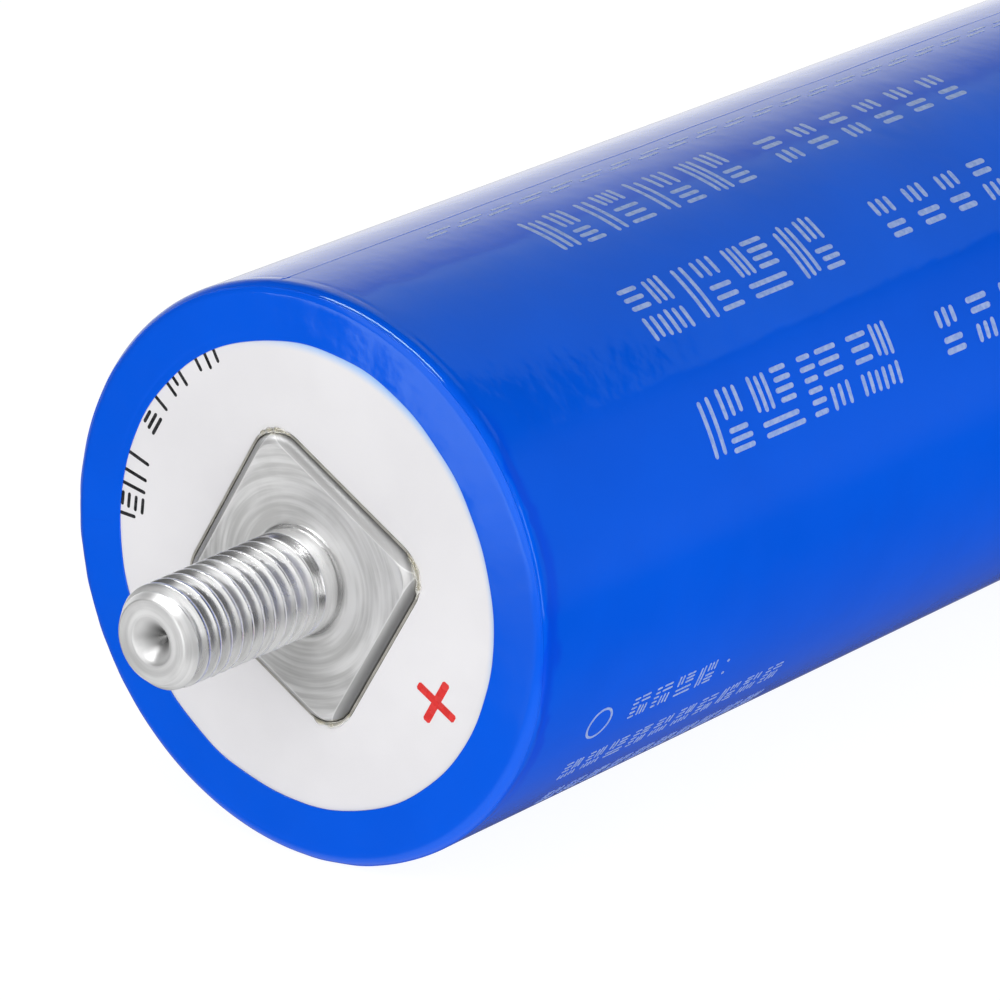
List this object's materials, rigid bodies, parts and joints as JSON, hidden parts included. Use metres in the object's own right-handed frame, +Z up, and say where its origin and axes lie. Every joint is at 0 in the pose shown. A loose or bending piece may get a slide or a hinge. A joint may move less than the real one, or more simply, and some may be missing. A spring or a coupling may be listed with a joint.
{
  "type": "cylindrical battery cell",
  "caption": "Large round rechargeable cell in a blue film sleeve, with a square-flanged threaded stud on each end for bolting on bus bars.",
  "frame": {"origin": "middle of the cell, on its axis half way between the two stud tips", "axes": "+Y along the cell's axis from the positive end towards the negative end, +Z up with the cell lying on its side"},
  "size_m": [0.066, 0.209, 0.066],
  "materials": {
    "sleeve_film": "gloss",
    "can_aluminium": "satin",
    "terminal_aluminium": "satin",
    "tray_plastic": "gloss",
    "disc_plastic": "matte",
    "cover_aluminium": "satin",
    "insulator_plastic": "matte",
    "collector_aluminium": "satin",
    "washer_steel": "satin",
    "vent_aluminium": "satin",
    "plug_aluminium": "satin",
    "positive_sheet": "matte",
    "separator_film": "matte",
    "negative_sheet": "matte",
    "core_plastic": "satin",
    "wrap_film": "gloss"
  },
  "bodies": {
    "root": {"heat_shrink_sleeve": "sleeve_film", "can": "can_aluminium", "positive_terminal": "terminal_aluminium", "positive_terminal_tray": "tray_plastic", "positive_end_disc": "disc_plastic", "positive_cover": "cover_aluminium", "positive_inner_insulator": "insulator_plastic", "positive_collector": "collector_aluminium", "positive_rivet_washer": "washer_steel", "negative_terminal": "terminal_aluminium", "negative_terminal_tray": "tray_plastic", "negative_end_disc": "disc_plastic", "negative_cover": "cover_aluminium", "negative_inner_insulator": "insulator_plastic", "negative_collector": "collector_aluminium", "negative_rivet_washer": "washer_steel", "vent_disc": "vent_aluminium", "fill_plug": "plug_aluminium", "positive_electrode": "positive_sheet", "outer_separator": "separator_film", "negative_electrode": "negative_sheet", "inner_separator": "separator_film", "winding_core": "core_plastic", "winding_wrap": "wrap_film"}
  },
  "joints": []
}
